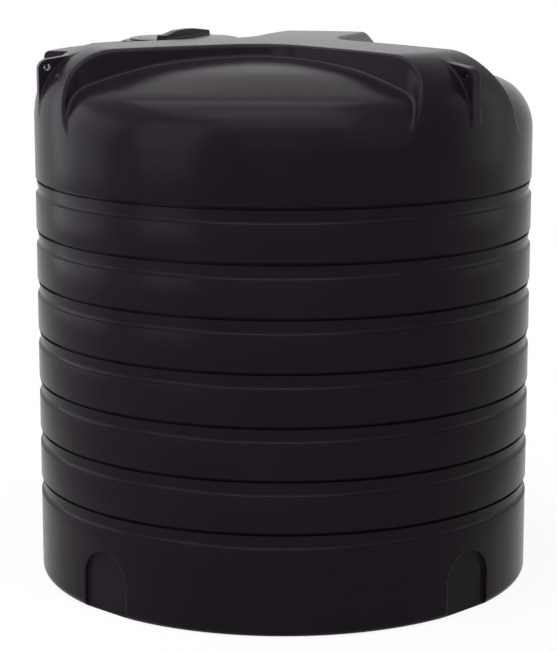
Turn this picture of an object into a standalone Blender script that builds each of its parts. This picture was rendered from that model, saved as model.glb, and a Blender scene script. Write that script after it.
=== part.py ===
"""Upright rotomoulded rainwater tank with a screw lid, lifting lugs and a base outlet.

Units are metres, +Z is up and the origin is the middle of the base. An azimuth is an angle in
degrees about Z: 0 points to -Y, and +90 points to +X. The first lifting lug is at azimuth 0, and
the manhole is at azimuth 180.
"""

import math

import bmesh
import bpy
from mathutils import Matrix, Vector

# Body
TANK_RADIUS = 0.775
SHOULDER_HEIGHT = 1.4144
WALL = 0.007
SEGMENTS = 56
ARC_STEPS = 5
ARCH_STEPS = 11
SHOULDER_STEPS = 7
BASE_CORNER = 0.024

# Rings pressed into the wall
RING_COUNT = 7
FIRST_RING_LIP = 0.317
TOP_BAND = 0.1494
RING_HEIGHT = 0.052
RING_DEPTH = 0.010
RING_UNDERCUT = 0.002
RING_RAMP = 0.010

# Rounded lobes between the arms: a round shoulder that breaks into a shallow dome
LOBE_SHOULDER = 0.163
LOBE_BREAK = 16.6
LOBE_STEPS = 3

# Crown with its three arms
ARM_COUNT = 3
CROWN_RISE = 0.2716
CROWN_BALL_RADIUS = 5.5
ARM_SHOULDER = 0.256
ARM_INSET = 0.0015
ARM_ROOT = 0.058

# Pockets that separate the arms
POCKET_DEPTH = 0.038
ARM_NECK = 0.0052
POCKET_FLARE = 62.7
POCKET_CORNER = 0.200
POCKET_DRAFT = 10.0

# Deck and pad that carry the manhole
DECK_DROP = 0.049
DECK_INSET = 0.004
DECK_VALLEY = 0.112
DECK_CORNER = 0.019
PAD_RISE = 0.012
PAD_MARGIN = 0.031
PAD_EDGE_INSET = 0.012
MANHOLE_AZIMUTH = 180.0
MANHOLE_SETBACK = 0.325
HUB_CLEARANCE = 0.058

# Manhole neck
NECK_RADIUS = 0.172
NECK_WALL = 0.009
NECK_DEPTH = 0.045

# Lid, its gasket and its grip
LID_OVERLAP = 0.022
LID_EDGE = 0.008
LID_RISE = 0.010
LID_RIM = 0.018
LID_PLATE = 0.006
LID_SKIRT_GAP = 0.002
LID_SKIRT_WALL = 0.006
LID_SKIRT_DEPTH = 0.038
GASKET_THICKNESS = 0.003
GASKET_INNER_INSET = 0.004
GASKET_OUTER_INSET = 0.006
GRIP_END_INSET = 0.006
GRIP_WIDTH = 0.031
GRIP_END_HEIGHT = 0.013
GRIP_RISE = 0.013
GRIP_AZIMUTH = 108.0

# Lifting lugs
LUG_THICKNESS = 0.038
LUG_INSET = 0.002
LUG_LENGTH = 0.213
LUG_DROP = 0.049
LUG_CORNER = 0.027
LUG_HOLE_RADIUS = 0.010
LUG_HOLE_EDGE = 0.029
LUG_HOLE_DROP = 0.024

# Arched flats in the foot of the wall
FLAT_COUNT = 4
FLAT_HALF_WIDTH = 0.090
FLAT_HEIGHT = 0.182
FLAT_DEPTH = 0.018

# Threaded outlet through the rear flat
OUTLET_AZIMUTH = 180.0
OUTLET_HEIGHT = 0.092
OUTLET_SLEEVE_RADIUS = 0.030
OUTLET_BORE_RADIUS = 0.021
OUTLET_FLANGE_RADIUS = 0.041
OUTLET_FLANGE = 0.008
OUTLET_SEAL = 0.003
OUTLET_NUT_RADIUS = 0.046
OUTLET_NUT = 0.014
OUTLET_TAIL = 0.010
OUTLET_SEGMENTS = 24

# Gaps and allowances
SEAT_GAP = 0.0003
RUN_OUT = 0.100

# Levels and places that follow from the sizes above
CROWN_HEIGHT = SHOULDER_HEIGHT + CROWN_RISE
CROWN_FOOT = SHOULDER_HEIGHT - ARM_ROOT
DECK_HEIGHT = CROWN_HEIGHT - DECK_DROP
PAD_HEIGHT = DECK_HEIGHT + PAD_RISE
MANHOLE_OFFSET = TANK_RADIUS - MANHOLE_SETBACK
LID_RADIUS = NECK_RADIUS + LID_OVERLAP
LID_PANEL_RADIUS = LID_RADIUS - LID_RIM
GRIP_LENGTH = 2 * (LID_PANEL_RADIUS - GRIP_END_INSET)
PAD_HALF_WIDTH = LID_RADIUS + PAD_MARGIN
POCKET_CHORD = MANHOLE_OFFSET - LID_RADIUS - HUB_CLEARANCE
ARM_SPREAD = math.radians(180.0 / ARM_COUNT)
POCKET_HALF_WIDTH = POCKET_CHORD * math.tan(ARM_SPREAD) - ARM_NECK / math.cos(ARM_SPREAD)
LUG_REACH = TANK_RADIUS - LUG_INSET
LUG_TIP_HEIGHT = CROWN_HEIGHT - LUG_DROP
RING_PITCH = (SHOULDER_HEIGHT - TOP_BAND - FIRST_RING_LIP) / (RING_COUNT - 1)

# The crown and the deck are turned by parts of a step, so that no two solids share an edge line
CROWN_TURN = math.pi / SEGMENTS
DECK_TURN = CROWN_TURN / 2

MERGE = 0.0001
TANK_NAME = "rainwater_tank"


def clear_scene():
    """Remove what the scene already holds."""
    for item in list(bpy.data.objects):
        bpy.data.objects.remove(item)


def new_collection(name):
    """Make a collection and link it to the scene."""
    collection = bpy.data.collections.new(name)
    bpy.context.scene.collection.children.link(collection)
    return collection


def heading(azimuth):
    """Return the level unit vector at an azimuth in degrees."""
    turn = math.radians(azimuth)
    return Vector((math.sin(turn), -math.cos(turn), 0.0))


def polar(radius, azimuth, height):
    """Return the point at a radius, an azimuth in degrees and a height."""
    point = heading(azimuth) * radius
    point.z = height
    return point


def arc(centre, radius, start, end, steps=ARC_STEPS):
    """List the points of an arc in a plane, from one angle to another in degrees."""
    points = []
    for step in range(steps + 1):
        turn = math.radians(start + (end - start) * step / steps)
        points.append((centre[0] + radius * math.cos(turn), centre[1] + radius * math.sin(turn)))
    return points


def add_object(name, mesh, collection):
    """Link a new object with the given mesh."""
    item = bpy.data.objects.new(name, mesh)
    collection.objects.link(item)
    return item


def hide_cutter(item):
    """Show a cutter or guide as wire only."""
    item.hide_render = True
    item.display_type = "WIRE"
    return item


def revolve(name, profile, collection, segments=SEGMENTS):
    """Turn a profile of (radius, height) points about Z.

    An open profile runs down from the axis and back to it. A closed one is the section of a ring,
    and its first point comes again at the end.
    """
    mesh = bpy.data.meshes.new(name)
    closed = profile[0] == profile[-1]
    rim = profile[:-1] if closed else profile
    points = [(radius, 0.0, height) for radius, height in rim]
    edges = [(index, index + 1) for index in range(len(points) - 1)]
    if closed:
        edges.append((len(points) - 1, 0))
    mesh.from_pydata(points, edges, [])
    item = add_object(name, mesh, collection)
    screw = item.modifiers.new("Turn", "SCREW")
    screw.steps = segments
    screw.render_steps = segments
    screw.use_merge_vertices = True
    screw.merge_threshold = MERGE
    screw.use_smooth_shade = True
    return item


def prism(name, low, high, bottom, top, collection, axis=None):
    """Loft a closed outline at one height to a like outline at another.

    Without an axis the outlines lie level. With an azimuth as the axis they stand upright,
    as (sideways, height) points, and the two levels are distances along that azimuth.
    """
    mesh = bpy.data.meshes.new(name)
    builder = bmesh.new()
    rings = []
    for outline, level in ((low, bottom), (high, top)):
        ring = []
        for across, along in outline:
            if axis is None:
                point = Vector((across, along, level))
            else:
                point = heading(axis + 90.0) * across + heading(axis) * level
                point.z = along
            ring.append(builder.verts.new(point))
        rings.append(ring)
    count = len(low)
    builder.faces.new(rings[0])
    builder.faces.new(rings[1])
    for index in range(count):
        after = (index + 1) % count
        builder.faces.new((rings[0][index], rings[0][after], rings[1][after], rings[1][index]))
    bmesh.ops.recalc_face_normals(builder, faces=builder.faces)
    builder.to_mesh(mesh)
    builder.free()
    return add_object(name, mesh, collection)


def turned_bar(name, radius, start, end, collection, segments=OUTLET_SEGMENTS):
    """Make a round bar from one point to another."""
    mesh = bpy.data.meshes.new(name)
    builder = bmesh.new()
    span = end - start
    bmesh.ops.create_cone(builder, cap_ends=True, segments=segments, radius1=radius,
                          radius2=radius, depth=span.length)
    turn = span.to_track_quat("Z", "Y").to_matrix().to_4x4()
    bmesh.ops.transform(builder, verts=builder.verts,
                        matrix=Matrix.Translation((start + end) / 2) @ turn)
    builder.to_mesh(mesh)
    builder.free()
    return add_object(name, mesh, collection)


def combine(item, other, operation):
    """Join, cut or keep the overlap of two solids with a Boolean modifier."""
    change = item.modifiers.new(operation.title(), "BOOLEAN")
    change.operation = operation
    change.solver = "EXACT"
    change.object = other
    return item


def make_material(name, colour, roughness, metallic=0.0):
    """Make a plain surface material."""
    material = bpy.data.materials.new(name)
    material.use_nodes = True
    shader = material.node_tree.nodes["Principled BSDF"]
    shader.inputs["Base Color"].default_value = (*colour, 1.0)
    shader.inputs["Roughness"].default_value = roughness
    shader.inputs["Metallic"].default_value = metallic
    return material


def crown_level(radius):
    """Height of the domed crown at a distance from the axis."""
    return CROWN_HEIGHT - CROWN_BALL_RADIUS + math.sqrt(CROWN_BALL_RADIUS ** 2 - radius ** 2)


def body_profile(inset):
    """Outline of the round body with its rings and lobes, set in by a wall thickness."""
    floor_top = crown_level(POCKET_CHORD) - POCKET_DEPTH - inset
    centre = (TANK_RADIUS - LOBE_SHOULDER, SHOULDER_HEIGHT)
    shoulder = arc(centre, LOBE_SHOULDER - inset, 90.0 - LOBE_BREAK, 0.0)
    crest_radius, crest_height = shoulder[0]
    bend = (floor_top - crest_height) / (crest_radius ** 2 - POCKET_CHORD ** 2)
    profile = [(0.0, floor_top)]
    for step in range(LOBE_STEPS):
        radius = POCKET_CHORD + (crest_radius - POCKET_CHORD) * step / LOBE_STEPS
        profile.append((radius, crest_height + bend * (crest_radius ** 2 - radius ** 2)))
    profile += shoulder
    outer = TANK_RADIUS - inset
    floor = outer - RING_DEPTH
    for ring in reversed(range(RING_COUNT)):
        lip = FIRST_RING_LIP + RING_PITCH * ring
        foot = lip - RING_HEIGHT
        profile.append((outer, lip + inset))
        profile.append((floor, lip + inset - RING_UNDERCUT))
        profile.append((floor, foot + RING_RAMP - inset / 2))
        profile.append((outer, foot - inset / 2))
    corner = BASE_CORNER - inset
    profile += reversed(arc((TANK_RADIUS - BASE_CORNER, BASE_CORNER), corner, -90.0, 0.0, 3))
    profile.append((0.0, inset))
    return profile


def crown_profile(inset):
    """Outline of the crown before the pockets divide it into arms."""
    rim = TANK_RADIUS - ARM_INSET
    tangent_radius = (rim - ARM_SHOULDER) / (1.0 - ARM_SHOULDER / CROWN_BALL_RADIUS)
    tilt = math.degrees(math.asin(tangent_radius / CROWN_BALL_RADIUS))
    ball_centre = CROWN_HEIGHT - CROWN_BALL_RADIUS
    centre_height = ball_centre + (CROWN_BALL_RADIUS - ARM_SHOULDER) * math.cos(math.radians(tilt))
    centre = (rim - ARM_SHOULDER, centre_height)
    profile = []
    for step in range(ARC_STEPS):
        turn = math.radians(tilt * step / ARC_STEPS)
        reach = CROWN_BALL_RADIUS - inset
        profile.append((reach * math.sin(turn), ball_centre + reach * math.cos(turn)))
    profile += reversed(arc(centre, ARM_SHOULDER - inset, 0.0, 90.0 - tilt, SHOULDER_STEPS))
    profile.append((rim - inset, CROWN_FOOT + inset))
    profile.append((0.0, CROWN_FOOT + inset))
    return profile


def pocket_outline(azimuth, grow, chord=POCKET_CHORD, half_width=POCKET_HALF_WIDTH):
    """Outline of a pocket seen from above: a chord, two round corners and two flared sides."""
    flare = math.radians(POCKET_FLARE)
    corner = POCKET_CORNER + grow
    vertex = (half_width + grow * math.tan(flare / 2), chord - grow)
    setback = corner * math.tan(flare / 2)
    centre = (vertex[0] - setback, vertex[1] + corner)
    side = arc(centre, corner, -90.0, -90.0 + POCKET_FLARE)
    far = TANK_RADIUS + RUN_OUT
    reach = (far - vertex[1]) / math.sin(flare)
    side.append((vertex[0] + reach * math.cos(flare), far))
    whole = [(-across, out) for across, out in reversed(side)] + side
    return place_outline(whole, azimuth)


def place_outline(outline, azimuth):
    """Turn (across, outward) points to level x and y at an azimuth."""
    ahead = heading(azimuth)
    beside = heading(azimuth + 90.0)
    placed = []
    for across, out in outline:
        point = beside * across + ahead * out
        placed.append((point.x, point.y))
    return placed


def pocket_cutter(name, azimuth, inset, collection):
    """Drafted block that takes one pocket out of the crown."""
    low = CROWN_FOOT - RUN_OUT
    high = CROWN_HEIGHT + RUN_OUT
    lean = math.tan(math.radians(POCKET_DRAFT))
    low_grow = inset + (low - CROWN_HEIGHT) * lean
    high_grow = inset + (high - CROWN_HEIGHT) * lean
    return prism(name, pocket_outline(azimuth, low_grow), pocket_outline(azimuth, high_grow),
                 low, high, collection)


def deck_outline(inset):
    """Outline of the deck: flared sides that leave a valley beside each arm."""
    flare = math.radians(POCKET_FLARE)
    shift = (DECK_VALLEY + inset) / math.sin(flare)
    near = POCKET_CHORD - RUN_OUT / 2
    far = TANK_RADIUS + RUN_OUT
    corners = []
    for out in (near, far):
        across = POCKET_HALF_WIDTH - shift + (out - POCKET_CHORD) / math.tan(flare)
        corners.append((across, out))
    outline = [(-corners[1][0], far), (-corners[0][0], near), corners[0], corners[1]]
    return place_outline(outline, MANHOLE_AZIMUTH)


def pad_outline(inset):
    """Outline of the pad under the lid, with its outer end round."""
    half = PAD_HALF_WIDTH - inset
    reach = TANK_RADIUS - PAD_EDGE_INSET - inset
    end = math.degrees(math.asin(half / reach))
    tip = arc((0.0, 0.0), reach, 90.0 + end, 90.0 - end)
    near = POCKET_CHORD - RUN_OUT / 2
    outline = [(half, near), (-half, near)] + tip
    return place_outline(outline, MANHOLE_AZIMUTH)


def moulded_form(name, inset, collection, guides):
    """Body, crown, deck and pad as one solid, set in from the outer skin."""
    form = revolve(name, body_profile(inset), collection)
    crown = hide_cutter(revolve(name + "_crown", crown_profile(inset), guides))
    crown.rotation_euler.z = CROWN_TURN
    for arm in range(ARM_COUNT):
        azimuth = 360.0 / ARM_COUNT * (arm + 0.5)
        cutter = pocket_cutter(f"{name}_pocket_{arm + 1}", azimuth, inset, guides)
        combine(crown, hide_cutter(cutter), "DIFFERENCE")
    combine(form, crown, "UNION")

    foot = CROWN_FOOT + RING_DEPTH + inset
    rim = TANK_RADIUS - DECK_INSET - inset
    corner = DECK_CORNER - inset
    deck_profile = [(0.0, DECK_HEIGHT - inset)]
    deck_profile += reversed(arc((rim - corner, DECK_HEIGHT - inset - corner), corner, 0.0, 90.0, 3))
    deck_profile += [(rim, foot), (0.0, foot)]
    deck = hide_cutter(revolve(name + "_deck", deck_profile, guides))
    deck.rotation_euler.z = DECK_TURN
    bound = prism(name + "_deck_bound", deck_outline(inset), deck_outline(inset),
                  foot - RUN_OUT, DECK_HEIGHT + RUN_OUT, guides)
    combine(deck, hide_cutter(bound), "INTERSECT")
    combine(form, deck, "UNION")

    pad_foot = foot + 2 * RING_DEPTH
    pad = prism(name + "_pad", pad_outline(inset), pad_outline(inset), pad_foot,
                PAD_HEIGHT - inset, guides)
    combine(form, hide_cutter(pad), "UNION")
    return form


def lug_outline():
    """Side view of a lug as (outward, height) points."""
    root = LUG_REACH - LUG_LENGTH
    root_height = crown_level(root) - 2 * SEAT_GAP
    foot = CROWN_FOOT + 3 * RING_DEPTH
    tip = arc((LUG_REACH - LUG_CORNER, LUG_TIP_HEIGHT - LUG_CORNER), LUG_CORNER, 90.0, 0.0, 4)
    return [(root, foot), (root, root_height)] + tip + [(LUG_REACH, foot)]


def add_lugs(shell, guides):
    """Join a lifting lug to the end of each arm and drill its eye."""
    for arm in range(ARM_COUNT):
        azimuth = 360.0 / ARM_COUNT * arm
        half = LUG_THICKNESS / 2
        lug = prism(f"lug_{arm + 1}", lug_outline(), lug_outline(), -half, half, guides,
                    axis=azimuth - 90.0)
        combine(shell, hide_cutter(lug), "UNION")
    for arm in range(ARM_COUNT):
        azimuth = 360.0 / ARM_COUNT * arm
        eye = polar(TANK_RADIUS - LUG_HOLE_EDGE, azimuth, LUG_TIP_HEIGHT - LUG_HOLE_DROP)
        side = heading(azimuth + 90.0) * LUG_THICKNESS
        drill = turned_bar(f"lug_eye_{arm + 1}", LUG_HOLE_RADIUS, eye - side, eye + side, guides, 12)
        combine(shell, hide_cutter(drill), "DIFFERENCE")


def flat_outline(grow):
    """Arch of a flat in the foot of the wall, as (sideways, height) points."""
    half = FLAT_HALF_WIDTH + grow
    spring = FLAT_HEIGHT - FLAT_HALF_WIDTH
    return [(-half, -RUN_OUT)] + arc((0.0, spring), half, 180.0, 0.0, ARCH_STEPS) + [(half, -RUN_OUT)]


def flat_cutter(name, azimuth, inset, guides):
    """Arched block that presses one flat into the foot of the wall."""
    near = TANK_RADIUS - FLAT_DEPTH - inset
    far = TANK_RADIUS + RUN_OUT
    outline = flat_outline(inset)
    return hide_cutter(prism(name, outline, outline, near, far, guides, axis=azimuth))


def build_shell(parts, guides, material):
    """Hollow tank body, moulded in one piece."""
    shell = moulded_form("tank_shell", 0.0, parts, guides)
    cavity = hide_cutter(moulded_form("cavity", WALL, guides, guides))
    for index in range(FLAT_COUNT):
        azimuth = 360.0 / FLAT_COUNT * index
        combine(shell, flat_cutter(f"flat_{index + 1}", azimuth, 0.0, guides), "DIFFERENCE")
        combine(cavity, flat_cutter(f"flat_inner_{index + 1}", azimuth, WALL, guides), "DIFFERENCE")
    add_lugs(shell, guides)
    combine(shell, cavity, "DIFFERENCE")

    centre = polar(MANHOLE_OFFSET, MANHOLE_AZIMUTH, PAD_HEIGHT - NECK_DEPTH)
    top = polar(MANHOLE_OFFSET, MANHOLE_AZIMUTH, PAD_HEIGHT - WALL / 2)
    collar = turned_bar("neck_collar", NECK_RADIUS + NECK_WALL, centre, top, guides, SEGMENTS)
    combine(shell, hide_cutter(collar), "UNION")
    low = polar(MANHOLE_OFFSET, MANHOLE_AZIMUTH, PAD_HEIGHT - NECK_DEPTH - RUN_OUT)
    high = polar(MANHOLE_OFFSET, MANHOLE_AZIMUTH, PAD_HEIGHT + RUN_OUT)
    bore = turned_bar("neck_bore", NECK_RADIUS, low, high, guides, SEGMENTS)
    combine(shell, hide_cutter(bore), "DIFFERENCE")

    face = TANK_RADIUS - FLAT_DEPTH
    start = polar(face - RUN_OUT, OUTLET_AZIMUTH, OUTLET_HEIGHT)
    end = polar(face + RUN_OUT, OUTLET_AZIMUTH, OUTLET_HEIGHT)
    drill = turned_bar("outlet_hole", OUTLET_SLEEVE_RADIUS + SEAT_GAP, start, end, guides)
    combine(shell, hide_cutter(drill), "DIFFERENCE")
    shell.data.materials.append(material)
    return shell


def ring_profile(inner, outer, low, high):
    """Closed square section of a ring."""
    return [(inner, high), (outer, high), (outer, low), (inner, low), (inner, high)]


def build_gasket(parts, material):
    """Flat gasket ring that lies on the pad under the lid's edge."""
    low = PAD_HEIGHT + SEAT_GAP
    profile = ring_profile(NECK_RADIUS + GASKET_INNER_INSET, LID_RADIUS - GASKET_OUTER_INSET,
                           low, low + GASKET_THICKNESS)
    gasket = revolve("lid_gasket", profile, parts)
    gasket.location = polar(MANHOLE_OFFSET, MANHOLE_AZIMUTH, 0.0)
    gasket.data.materials.append(material)
    return gasket


def grip_outline(plate_top):
    """Side view of the grip bar: straight foot, square ends and an arched back."""
    half = GRIP_LENGTH / 2
    rise = GRIP_RISE
    radius = (half ** 2 + rise ** 2) / (2 * rise)
    swing = math.degrees(math.asin(half / radius))
    crest = plate_top + GRIP_END_HEIGHT + rise
    back = arc((0.0, crest - radius), radius, 90.0 + swing, 90.0 - swing, 8)
    return [(half, plate_top - LID_PLATE / 2), (-half, plate_top - LID_PLATE / 2)] + back


def build_lid(parts, guides, material):
    """Screw lid: flange, raised panel, skirt and moulded grip bar."""
    seat = PAD_HEIGHT + 2 * SEAT_GAP + GASKET_THICKNESS
    edge_top = seat + LID_EDGE
    plate_top = edge_top + LID_RISE
    skirt_outer = NECK_RADIUS - LID_SKIRT_GAP
    skirt_inner = skirt_outer - LID_SKIRT_WALL
    skirt_low = PAD_HEIGHT - LID_SKIRT_DEPTH
    profile = [(0.0, plate_top), (LID_PANEL_RADIUS, plate_top - LID_RISE / 4),
               (LID_PANEL_RADIUS + LID_RISE / 2, edge_top),
               (LID_RADIUS - LID_EDGE / 4, edge_top), (LID_RADIUS, edge_top - LID_EDGE / 4),
               (LID_RADIUS, seat), (skirt_outer, seat), (skirt_outer, skirt_low),
               (skirt_inner, skirt_low), (skirt_inner, plate_top - LID_PLATE - LID_RISE / 4),
               (0.0, plate_top - LID_PLATE)]
    lid = revolve("manhole_lid", profile, parts)
    outline = grip_outline(plate_top)
    grip = prism("lid_grip", outline, outline, -GRIP_WIDTH / 2, GRIP_WIDTH / 2, guides,
                 axis=GRIP_AZIMUTH - 90.0)
    combine(lid, hide_cutter(grip), "UNION")
    for item in (lid, grip):
        item.location = polar(MANHOLE_OFFSET, MANHOLE_AZIMUTH, 0.0)
    lid.data.materials.append(material)
    return lid


def outlet_part(name, profile, parts, material):
    """Place a turned outlet piece, modelled about Z, on the outlet's level axis."""
    item = revolve(name, profile, parts, OUTLET_SEGMENTS)
    out = heading(OUTLET_AZIMUTH)
    item.rotation_euler = out.to_track_quat("Z", "Y").to_euler()
    item.location = polar(0.0, OUTLET_AZIMUTH, OUTLET_HEIGHT)
    item.data.materials.append(material)
    return item


def build_outlet(parts, metal, rubber):
    """Flanged threaded bush, its seal on the flat and its nut inside the tank."""
    face = TANK_RADIUS - FLAT_DEPTH
    inner_face = face - WALL
    seal_low = face + SEAT_GAP
    seal_high = seal_low + OUTLET_SEAL
    flange_low = seal_high + SEAT_GAP
    flange_high = flange_low + OUTLET_FLANGE
    nut_high = inner_face - SEAT_GAP
    nut_low = nut_high - OUTLET_NUT
    tail = nut_low - OUTLET_TAIL
    sleeve = OUTLET_SLEEVE_RADIUS - SEAT_GAP
    bush = [(OUTLET_BORE_RADIUS, flange_high), (OUTLET_FLANGE_RADIUS, flange_high),
            (OUTLET_FLANGE_RADIUS, flange_low), (sleeve, flange_low), (sleeve, tail),
            (OUTLET_BORE_RADIUS, tail), (OUTLET_BORE_RADIUS, flange_high)]
    outlet_part("outlet_bush", bush, parts, metal)
    hole = OUTLET_SLEEVE_RADIUS + SEAT_GAP
    seal = ring_profile(hole, OUTLET_FLANGE_RADIUS, seal_low, seal_high)
    outlet_part("outlet_seal", seal, parts, rubber)
    nut = ring_profile(hole, OUTLET_NUT_RADIUS, nut_low, nut_high)
    outlet_part("outlet_nut", nut, parts, metal)


def main():
    """Build the tank."""
    clear_scene()
    parts = new_collection(TANK_NAME)
    guides = new_collection("cutters_and_guides")
    black = make_material("black_polyethylene", (0.017, 0.016, 0.019), 0.42)
    lid_black = make_material("black_lid_polyethylene", (0.014, 0.013, 0.016), 0.36)
    rubber = make_material("black_rubber", (0.020, 0.020, 0.020), 0.75)
    brass = make_material("brass", (0.62, 0.44, 0.17), 0.32, 1.0)
    build_shell(parts, guides, black)
    build_gasket(parts, rubber)
    build_lid(parts, guides, lid_black)
    build_outlet(parts, brass, rubber)


main()
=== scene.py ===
"""Looks of the rainwater tank: fine moulded skins, materials, floor, light and camera.

Units are metres. The moulded skin is described by distance functions, which are negative inside
the plastic, and is meshed on a regular grid. The wall's rings and the small parts are turned
profiles. An azimuth is an angle in degrees about Z: 0 points to -Y, and +90 points to +X.
"""

import math

import bpy
import numpy as np
from mathutils import Matrix, Vector


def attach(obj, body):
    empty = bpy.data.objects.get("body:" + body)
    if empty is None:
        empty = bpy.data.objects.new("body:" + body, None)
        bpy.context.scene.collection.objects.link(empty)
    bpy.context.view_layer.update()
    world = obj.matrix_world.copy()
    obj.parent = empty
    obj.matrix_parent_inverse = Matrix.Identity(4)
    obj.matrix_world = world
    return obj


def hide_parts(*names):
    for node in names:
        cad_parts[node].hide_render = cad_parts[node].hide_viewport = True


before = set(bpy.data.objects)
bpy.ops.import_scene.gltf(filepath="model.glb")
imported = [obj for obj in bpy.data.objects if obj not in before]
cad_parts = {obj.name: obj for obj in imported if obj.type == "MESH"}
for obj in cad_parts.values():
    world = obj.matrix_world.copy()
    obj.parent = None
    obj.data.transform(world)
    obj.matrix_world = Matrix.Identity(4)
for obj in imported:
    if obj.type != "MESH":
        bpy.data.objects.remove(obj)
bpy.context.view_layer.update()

# Body of the tank
RADIUS = 0.775
WALL = 0.007
BASE_CORNER = 0.024
RING_COUNT = 7
FIRST_LIP = 0.317
RING_PITCH = 0.158
RING_HEIGHT = 0.052
INNER_RING_DEPTH = 0.010
RAMP_RADIUS = 0.015
RAMP_START = 10.0
RAMP_END = 68.0
SLOT_DEPTH = 0.0155
SLOT_HEIGHT = 0.0100
SLOT_EDGE = 0.0015
BAND_START = 0.0035
LEDGE_EDGE = 0.001

# Crown, pockets and lobes. A lobe's dome falls from LOBE_FLOOR, by the power LOBE_CURVE, between the
# radius LOBE_START and its shoulder, which breaks at LOBE_BREAK degrees.
LOBE_RADIUS = 0.163
LOBE_BREAK = 16.6
LOBE_FOOT = 1.4144
LOBE_START = 0.198
LOBE_FLOOR = 1.6385
LOBE_CURVE = 1.45
LOBE_SHARE = (1e-4, 1.5)
LOBE_BLEND = 0.010
CROWN_HEIGHT = 1.681
CROWN_BALL = 20.0
ARM_COUNT = 3
ARM_SHOULDER = 0.205
ARM_INSET = 0.0015
ARM_HALF = 0.1386
HUB_ROUND = 0.200
POCKET_HALF = 0.555
POCKET_CORNER = 0.150
POCKET_LEAN = math.tan(math.radians(10.0))
POCKET_EDGE = 0.013
POCKET_FILLET = 0.013

# Deck, pad and neck
DECK_HEIGHT = 1.637
DECK_FLARE = math.radians(62.7)
DECK_HALF = 0.3366
DECK_EDGE = 0.019
DECK_INSET = 0.002
DECK_CORNER = 0.010
PAD_HEIGHT = 1.649
PAD_HALF = 0.225
PAD_EDGE = 0.007
PAD_CORNER = 0.030
PAD_FILLET = 0.006
DECK_FILLET = 0.012
CURB_RADIUS = 0.2035
CURB_HALF = 0.0055
CURB_HEIGHT = 0.006
CURB_ROOT = 0.004
CURB_EDGE = 0.002
CURB_FILLET = 0.003
MANHOLE_AZIMUTH = 180.0
MANHOLE_OFFSET = 0.450
NECK_RADIUS = 0.172
NECK_WALL = 0.009
NECK_DEPTH = 0.045
NECK_HOLE = 0.186
NECK_MOUTH = 0.003
NECK_END = 0.002
NECK_LIP = 0.0004
HOLE_DEPTH = 0.020
HOLE_MARGIN = 0.004

# Lifting lugs. Their grid runs from LUG_LOW to LUG_HIGH.
LUG_THICKNESS = 0.038
LUG_REACH = 0.773
LUG_TIP = 1.637
LUG_CORNER = 0.027
LUG_ROOT = 0.560
LUG_EDGE = 0.003
LUG_FILLET = 0.010
LUG_SINK = 0.0012
LUG_ROOT_SINK = 0.007
LUG_STEP = 0.0024
LUG_ROOM = 0.024
LUG_MARGIN = 0.005
LUG_LAP = 0.004
LUG_LOW = 1.36
LUG_HIGH = 1.67
EYE_RADIUS = 0.010
EYE_EDGE = 0.029
EYE_DROP = 0.024
EYE_ROOM = 0.0030
EYE_ROUND = 0.0015

# Gasket between the pad and the lid's flange
SEAT_GAP = 0.0003
GASKET_LOW = PAD_HEIGHT + SEAT_GAP
GASKET_THICKNESS = 0.003
GASKET_INNER = 0.176
GASKET_OUTER = 0.188
GASKET_EDGE = 0.0009

# Screw lid. LID_TOP and PANEL_FOOT are heights above LID_SEAT, and LID_CEILING ends its grid.
LID_SEAT = GASKET_LOW + GASKET_THICKNESS + SEAT_GAP
LID_CEILING = 1.702
LID_RADIUS = 0.194
LID_FLANGE = 0.008
LID_PANEL = 0.176
LID_TOP = 0.018
LID_DOME = 0.0035
LID_PLATE = 0.006
LID_GROOVE = 0.150
GROOVE_HALF = 0.004
GROOVE_DEPTH = 0.0012
FLANGE_EDGE = 0.0025
PANEL_EDGE = 0.005
PANEL_FOOT = 0.001
PANEL_FILLET = 0.0035
HOLLOW_EDGE = 0.006
LID_STEP = 0.0026
SKIRT_INNER = 0.164
SKIRT_OUTER = 0.170
SKIRT_LOW = 1.611
SKIRT_EDGE = 0.0015
SCALLOPS = 40
SCALLOP_DEPTH = 0.0007

# Grip bar across the lid. Its top has points of (distance along the bar, height over the lid).
GRIP_AZIMUTH = 110.5
GRIP_HALF = 0.168
GRIP_HALF_WIDTH = 0.0152
GRIP_LEAN = 0.08
GRIP_SLOPE = 0.985
GRIP_CORNER = 0.004
GRIP_EDGE = 0.0032
GRIP_FILLET = 0.004
GRIP_TOP = ((-0.170, 0.0130), (-0.140, 0.0135), (-0.060, 0.0238), (0.0, 0.0250), (0.060, 0.0232),
            (0.170, 0.0120))

# Screw thread of the lid and the neck
THREAD_PITCH = 0.012
THREAD_HEIGHT = 0.0008
THREAD_FLANK = 4.0
THREAD_SHARE = 1.6
THREAD_ROOT = 0.0004
THREAD_FOOT = 0.0042
THREAD_CREST = 0.0018
THREAD_START = 0.010
THREAD_TURNS = 1.9
THREAD_FADE = 10.0

# Arched flats at the foot
FLAT_COUNT = 4
FLAT_HALF = 0.090
FLAT_HEIGHT = 0.192
FLAT_DEPTH = 0.018
FLAT_EDGE = 0.004
FLAT_FILLET = 0.003

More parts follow.
